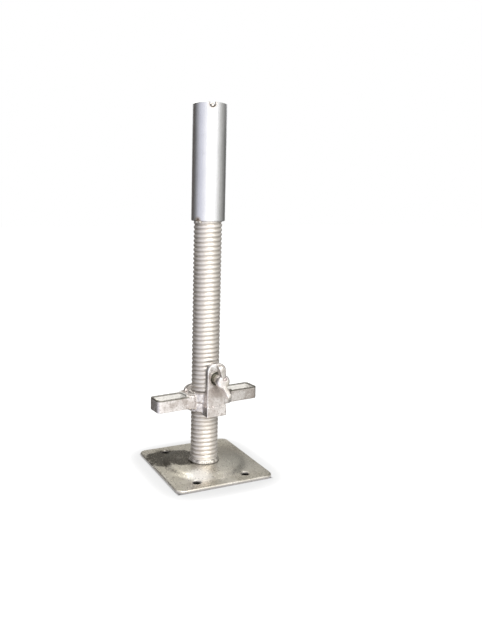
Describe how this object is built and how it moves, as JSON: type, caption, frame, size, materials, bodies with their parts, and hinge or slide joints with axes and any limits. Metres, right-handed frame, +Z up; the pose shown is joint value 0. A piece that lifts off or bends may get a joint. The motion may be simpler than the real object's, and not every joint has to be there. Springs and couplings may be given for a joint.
{
  "type": "scaffold base jack",
  "caption": "Adjustable foot for a scaffold leg: pressed plate, threaded spindle with a plain sleeve, loop-handled nut and a locking wing bolt.",
  "frame": {"origin": "centre of the foot plate's underside, on the ground", "axes": "+Z up along the spindle, +X along the plate's front edge, -Y towards the wing bolt"},
  "size_m": [0.158, 0.15, 0.495],
  "materials": {
    "plate_steel": "hot-dip galvanised pressing, dull and stained",
    "spindle_steel": "galvanised rolled thread, satin",
    "sleeve_steel": "bright galvanised tube",
    "weld": "galvanised weld bead",
    "casting": "bright galvanised malleable casting"
  },
  "bodies": {
    "jack": {"base_plate": "plate_steel", "base_weld": "weld", "spindle": "spindle_steel", "sleeve": "sleeve_steel", "sleeve_welds": "weld"},
    "nut": {"adjusting_nut": "casting"},
    "bolt": {"wing_bolt": "casting"}
  },
  "joints": [
    {"name": "nut_travel", "type": "slide", "parent": "jack", "child": "nut", "axis": [0, 0, 1], "range_m": [-0.066, 0.227]},
    {"name": "bolt_turn", "type": "hinge", "parent": "nut", "child": "bolt", "pos_m": [0.00178, -0.03395, 0.1355], "axis": [0.0523, -0.9986, 0], "range_deg": [-1260, 360]}
  ]
}
